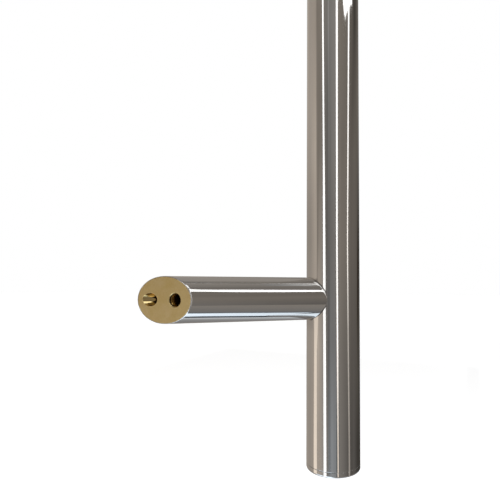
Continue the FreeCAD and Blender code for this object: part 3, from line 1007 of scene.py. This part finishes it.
def toneCard(name, rows):
    # rows of (point, level, warmth), joined by faces that blend the tones between them
    tones = [toneOf(level, warmth) for row in rows for point, level, warmth in row]
    bm = bmesh.new()
    made = [[bm.verts.new(point) for point, level, warmth in row] for row in rows]
    for lower, upper in zip(made, made[1:]):
        for i in range(1, len(lower)):
            bm.faces.new((lower[i - 1], lower[i], upper[i], upper[i - 1]))
    mesh = bpy.data.meshes.new(name)
    bm.to_mesh(mesh)
    bm.free()
    layer = mesh.color_attributes.new("tone", "FLOAT_COLOR", "POINT")
    for number, tone in enumerate(tones):
        layer.data[number].color = tone
    mesh.materials.append(studioTone)
    card = bpy.data.objects.new(name, mesh)
    bpy.context.scene.collection.objects.link(card)
    card.visible_camera = False
    card.visible_diffuse = False
    card.visible_shadow = False


def onWall(azimuth, radius, height):
    # azimuth runs from +Y towards +X
    turn = math.radians(azimuth)
    return gripAxis + Vector((math.sin(turn) * radius, math.cos(turn) * radius, height))


def makeStudioWall(spec):
    columns = []
    for first, last in zip(spec["wall"], spec["wall"][1:]):
        steps = max(1, round(abs(last[0] - first[0]) / spec["wallStep"]))
        for step in range(steps):
            columns.append([blend(a, b, step / steps) for a, b in zip(first, last)])
    columns.append(spec["wall"][-1])
    rows = []
    for height, radius, which in spec["rings"]:
        share = max(0.0, 1 - which / spec["lowWarmthLevels"])
        rows.append([(onWall(azimuth, radius, height), levels[which], blend(warmth, low, share))
                     for azimuth, warmth, low, *levels in columns])
    toneCard("studioWall", rows)


def makeStrips(spec):
    for name, rows in spec["strips"].items():
        card = []
        for height, start, end, level, warmth in rows:
            card.append([(onWall(azimuth, spec["stripRadius"], height), level, warmth)
                         for azimuth in (start, end)])
        toneCard(name, card)


def makeFloorSheet(spec):
    height = spec["floorHeight"] + spec["sheetLift"]
    rows = []
    for y, edge, shift, brightness in spec["sheetEdge"]:
        row = []
        for x, level, warmth in spec["sheetFar"]:
            row.append(((x + shift * (x > spec["shiftFrom"]), y, height), level, warmth))
        for x, level, warmth in spec["sheetNear"]:
            row.append(((edge + x, y, height), level, warmth))
        rows.append([(point, level * brightness if level > spec["brightenFrom"] else level, warmth)
                     for point, level, warmth in row])
    toneCard("floorSheet", rows)


def makeCeiling(spec):
    turn, reach = math.radians(spec["ceilingTurn"]), spec["ceilingReach"]
    run = Vector((math.sin(turn), math.cos(turn), 0))
    lie = run.cross(up)
    rows = []
    for side in (-reach, reach):
        rows.append([(run * distance + lie * side + up * spec["ceilingHeight"], level,
                      spec["ceilingWarmth"]) for distance, level in spec["ceiling"]])
    toneCard("ceilingCard", rows)


def makeOverhead(spec):
    height = spec["overheadHeight"]
    for name, rows in spec["overhead"].items():
        toneCard(name, [[((nearX, nearY, height), level, 0.0), ((farX, farY, height), level, 0.0)]
                        for nearX, nearY, farX, farY, level in rows])


makeStudioWall(studio)
makeStrips(studio)
makeFloorSheet(studio)
makeCeiling(studio)
makeOverhead(studio)
print("studio cards up")


# Floor, world and lamp

lighting = {
    "floorReach": 40.0,
    "floorColour": (0.86, 0.86, 0.86),
    "floorRoughness": (0.6, 0.75),
    "floorGrain": 60.0,  # noise scale
    "floorGlow": 0.50,
    "ambient": 0.55,
    "lampPower": 65.0,
    "lampSize": 3.0,
    "lampPlace": (-0.6, 0.8, 2.6),
}


def whiteSeen(tree):
    # 1 for the camera, and for what metal and glass show
    path = addNode(tree, "LightPath")
    seen = mathNode(tree, "MAXIMUM", path.outputs["Is Camera Ray"], path.outputs["Is Glossy Ray"])
    return mathNode(tree, "MAXIMUM", seen, path.outputs["Is Transmission Ray"])


def makeFloor(spec):
    reach, height = spec["floorReach"], studio["floorHeight"]
    corners = [(-reach, -reach), (reach, -reach), (reach, reach), (-reach, reach)]
    bm = bmesh.new()
    bm.faces.new([bm.verts.new((x, y, height)) for x, y in corners])
    floor = meshObject("floor", bm)
    material, tree, output = newMaterial("paleFloor")
    place = addNode(tree, "TexCoord").outputs["Object"]
    grain = addNode(tree, "TexNoise", Vector=place, Scale=spec["floorGrain"], Detail=3.0)
    rough = rangeNode(tree, grain.outputs[0], (0.0, 1.0), spec["floorRoughness"])
    paper = addNode(tree, "BsdfPrincipled", Base_Color=tint(spec["floorColour"]), Roughness=rough)
    strength = mathNode(tree, "MULTIPLY", whiteSeen(tree), spec["floorGlow"])
    glow = addNode(tree, "Emission", Color=(1, 1, 1, 1), Strength=strength)
    both = addNode(tree, "AddShader")
    tree.links.new(paper.outputs[0], both.inputs[0])
    tree.links.new(glow.outputs[0], both.inputs[1])
    tree.links.new(both.outputs[0], output.inputs["Surface"])
    wear(floor, material)


def makeWorld(spec):
    world = bpy.data.worlds.new("studio")
    bpy.context.scene.world = world
    world.use_nodes = True
    tree = world.node_tree
    tree.nodes.clear()
    output = tree.nodes.new("ShaderNodeOutputWorld")
    strength = mathNode(tree, "MAXIMUM", whiteSeen(tree), spec["ambient"])
    background = addNode(tree, "Background", Color=(1, 1, 1, 1), Strength=strength)
    tree.links.new(background.outputs[0], output.inputs["Surface"])


def makeLamp(spec):
    data = bpy.data.lights.new("softLamp", "AREA")
    data.shape = "SQUARE"
    data.size = spec["lampSize"]
    data.energy = spec["lampPower"]
    lamp = bpy.data.objects.new("softLamp", data)
    lamp.location = spec["lampPlace"]
    lamp.visible_glossy = False
    bpy.context.scene.collection.objects.link(lamp)


makeFloor(lighting)
makeWorld(lighting)
makeLamp(lighting)
bpy.context.scene.view_settings.view_transform = "Standard"
print("lights on")
